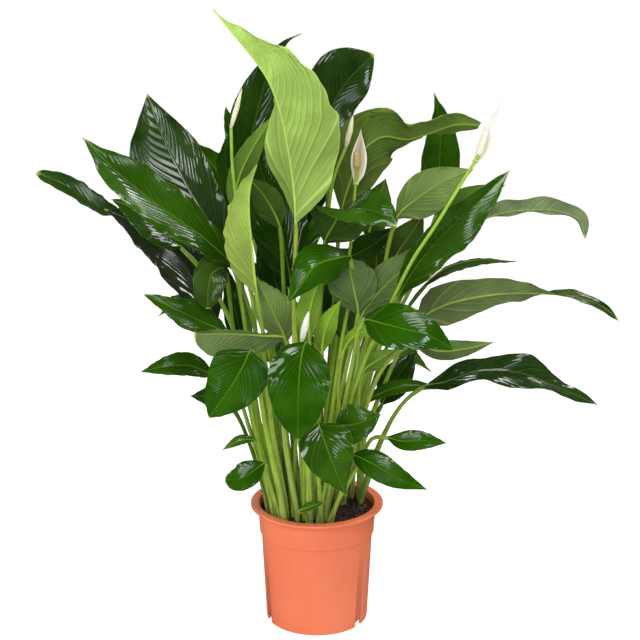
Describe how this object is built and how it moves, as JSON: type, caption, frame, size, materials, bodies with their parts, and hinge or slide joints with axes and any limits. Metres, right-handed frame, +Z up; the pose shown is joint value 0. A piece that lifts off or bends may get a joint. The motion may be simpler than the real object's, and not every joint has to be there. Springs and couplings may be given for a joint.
{
  "type": "potted peace lily",
  "caption": "Peace lily with long pointed leaves on upright stalks and white spathe blooms, growing in a round tapered plastic nursery pot with a rolled rim.",
  "frame": {"origin": "centre of the pot's foot, on the surface that the pot stands on", "axes": "+Z up along the pot's axis, -Y towards the picture's viewer, +X to the viewer's right"},
  "size_m": [0.8949, 0.5621, 0.9663],
  "materials": {
    "terracotta_plastic": "moulded satin plastic",
    "soil": "crumbly peat, matt",
    "leaf": "waxy upper side, matt underside",
    "bloom_stalk": "smooth plant stalk",
    "spathe": "soft white petal",
    "spadix": "bumpy and matt"
  },
  "bodies": {
    "root": {"pot": "terracotta_plastic", "soil": "soil", "leaf_tall_front": "leaf", "leaf_top_back": "leaf", "leaf_top_left": "leaf", "leaf_wavy_left": "leaf", "leaf_furled": "leaf", "leaf_olive_left": "leaf", "leaf_dark_middle": "leaf", "leaf_striped_left": "leaf", "leaf_left_upper": "leaf", "leaf_far_left": "leaf", "leaf_left_lower": "leaf", "leaf_purple_left": "leaf", "leaf_left_pointed": "leaf", "leaf_level_left": "leaf", "leaf_left_low": "leaf", "leaf_heart_left": "leaf", "leaf_heart_middle": "leaf", "leaf_grey_middle": "leaf", "leaf_yellow_green": "leaf", "leaf_upright_left": "leaf", "leaf_arching_middle": "leaf", "leaf_big_right": "leaf", "leaf_right_upright": "leaf", "leaf_right_green": "leaf", "leaf_right_light": "leaf", "leaf_right_glossy": "leaf", "leaf_far_right_high": "leaf", "leaf_far_right": "leaf", "leaf_bright_right": "leaf", "leaf_right_pale": "leaf", "leaf_wavy_right": "leaf", "leaf_low_right": "leaf", "leaf_hanging_low": "leaf", "leaf_small_left": "leaf", "leaf_grey_right": "leaf", "leaf_dark_glossy": "leaf", "leaf_olive_right": "leaf", "leaf_olive_top": "leaf", "leaf_dark_right": "leaf", "leaf_inner_left": "leaf", "leaf_inner_right": "leaf", "leaf_back_high": "leaf", "leaf_back_left": "leaf", "leaf_back_middle": "leaf", "leaf_back_low_left": "leaf", "leaf_back_low": "leaf", "bloom_open_stalk": "bloom_stalk", "bloom_open_spathe": "spathe", "bloom_open_spadix": "spadix", "bloom_white_right_stalk": "bloom_stalk", "bloom_white_right_spathe": "spathe", "bloom_white_right_spadix": "spadix", "bloom_slim_left_stalk": "bloom_stalk", "bloom_slim_left_spathe": "spathe", "bloom_slim_right_stalk": "bloom_stalk", "bloom_slim_right_spathe": "spathe", "bloom_bud_stalk": "bloom_stalk", "bloom_bud_spathe": "spathe"}
  },
  "joints": []
}
